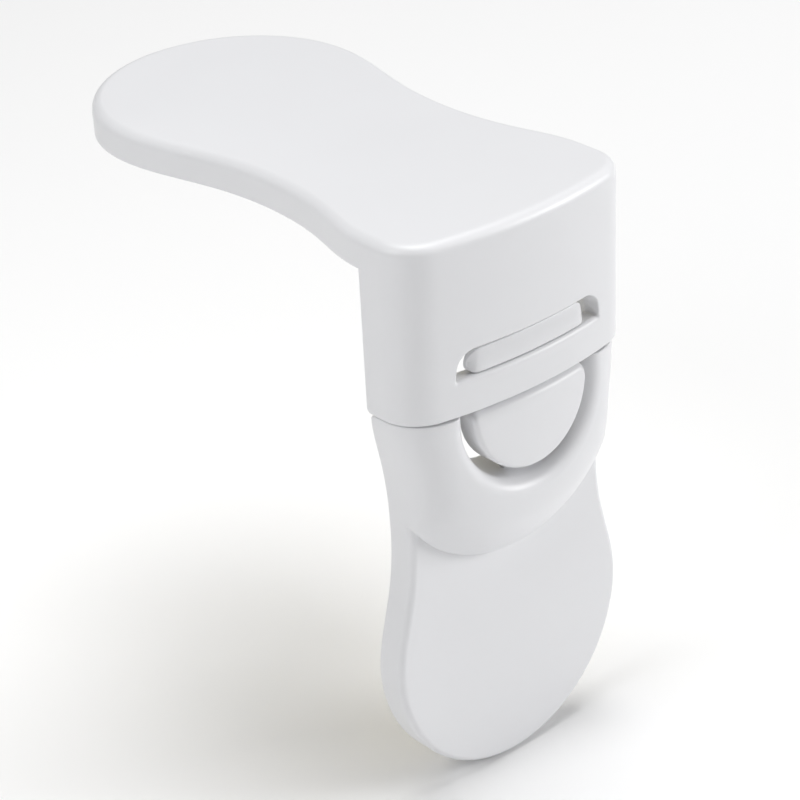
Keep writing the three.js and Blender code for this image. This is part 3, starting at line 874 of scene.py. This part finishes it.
def finish_piece(piece, material, body, slot, *nodes):
    """Gives a piece its material, hides the frame nodes it takes the place of, and attaches it to the body it rides
    on; `slot` is not used.
    """
    piece.data.materials.clear()
    piece.data.materials.append(material)
    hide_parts(*nodes)
    if body:
        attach(piece, body)
    return piece


WHITE = (0.765, 0.768, 0.785)
shell_white = moulded_plastic("shell white", WHITE, 0.36, 0.0)
tongue_white = moulded_plastic("tongue white", WHITE, 0.34, 3.1)
spring_white = moulded_plastic("spring acetal", (0.74, 0.745, 0.755), 0.45, 5.7)
foam_white = foam("foam tape", (0.70, 0.70, 0.67))
liner_film = liner("release film", (0.83, 0.74, 0.47))

finish_piece(bracket_shell(), shell_white, "bracket", "white_plastic", "bracket_shell")
finish_piece(base_shell(), shell_white, "base", "white_plastic", "base_shell")
finish_piece(latch_tongue(), tongue_white, "tongue", "white_plastic", "latch_tongue")
finish_piece(catch_bar(), tongue_white, "tongue", "white_plastic", "catch_bar")
strip = finish_piece(leaf_spring(), spring_white, None, "spring_plastic", "leaf_spring")
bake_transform(strip)

plate_side = lobe(HALF, PLATE_WAIST, PLATE_LOBE, PLATE_END, 200)
base_side = lobe(BASE_TOP, BASE_WAIST, BASE_LOBE, BASE_END, 200)
plate_foam = sheet_piece(
    "bracket_foam", plate_side, PLATE_PAD_START, FOAM_MARGIN, *PLATE_FOAM, False, FOAM_EDGE)
plate_liner = sheet_piece(
    "bracket_liner", plate_side, PLATE_PAD_START, LINER_MARGIN, *PLATE_LINER, False, LINER_EDGE)
base_foam = sheet_piece(
    "base_foam", base_side, BASE_PAD_START, FOAM_MARGIN, *BASE_FOAM, True, FOAM_EDGE)
base_liner = sheet_piece(
    "base_liner", base_side, BASE_PAD_START, LINER_MARGIN, *BASE_LINER, True, LINER_EDGE)
finish_piece(plate_foam, foam_white, "bracket", "foam_tape", "bracket_foam_pad")
finish_piece(plate_liner, liner_film, "bracket", "liner_film", "bracket_pad_liner")
finish_piece(base_foam, foam_white, "base", "foam_tape", "base_foam_pad")
finish_piece(base_liner, liner_film, "base", "liner_film", "base_pad_liner")

# ---------------------------------------------------------------- floor, light and camera

lowest = cad_box[0].z
bpy.ops.mesh.primitive_plane_add(size=6, location=(0, 0, lowest - 0.0005))
floor = bpy.context.object
floor.name = "floor"
floor.data.materials.append(pale_floor("floor paint", (0.93, 0.93, 0.93)))

world = bpy.data.worlds.new("studio")
bpy.context.scene.world = world
world.use_nodes = True
world.node_tree.nodes["Background"].inputs["Color"].default_value = (1, 1, 1, 1)
world.node_tree.nodes["Background"].inputs["Strength"].default_value = 0.19


def soft_light(name, place_at, look_at, size, power):
    """Round area light at one point, turned to face another."""
    data = bpy.data.lights.new(name, "AREA")
    data.shape = "DISK"
    data.size = size
    data.energy = power
    light = bpy.data.objects.new(name, data)
    bpy.context.scene.collection.objects.link(light)
    light.location = place_at
    light.rotation_euler = (Vector(look_at) - Vector(place_at)).to_track_quat("-Z", "Y").to_euler()


LIGHTS = (
    ("top light", (0.15, 0.1, 1.5), 1.1, 15.9),
    ("right light", (1.15, -0.95, 0.55), 0.7, 13.2),
    ("left light", (-0.38, 0.0, 0.3), 0.26, 0.66),
)
for light_name, light_at, light_size, light_power in LIGHTS:
    soft_light(light_name, light_at, (0, 0.01, 0.02), light_size, light_power)

# camera: it stands in front, to the left and above, and is rolled a little
AZIMUTH, ELEVATION, ROLL = np.radians((-39.857, 28.947, -3.145))
DISTANCE, AIM_X, AIM_Y = 413.0, -11.707, -5.972
toward = np.array([np.sin(AZIMUTH) * np.cos(ELEVATION), -np.cos(AZIMUTH) * np.cos(ELEVATION), np.sin(ELEVATION)])
across = np.cross(-toward, (0, 0, 1))
across /= np.linalg.norm(across)
up = np.cross(across, -toward)
across, up = across * np.cos(ROLL) + up * np.sin(ROLL), up * np.cos(ROLL) - across * np.sin(ROLL)
stand = place(across * AIM_X + up * AIM_Y + toward * DISTANCE)
view = bpy.data.cameras.new("camera")
view.lens = 126
view.sensor_width = 36
view.clip_start = 0.01
view.clip_end = 20
camera = bpy.data.objects.new("camera", view)
bpy.context.scene.collection.objects.link(camera)
camera.matrix_world = Matrix([[across[k], up[k], toward[k], stand[k]] for k in range(3)] + [[0, 0, 0, 1]])
bpy.context.scene.camera = camera
bpy.context.scene.view_settings.view_transform = "Standard"
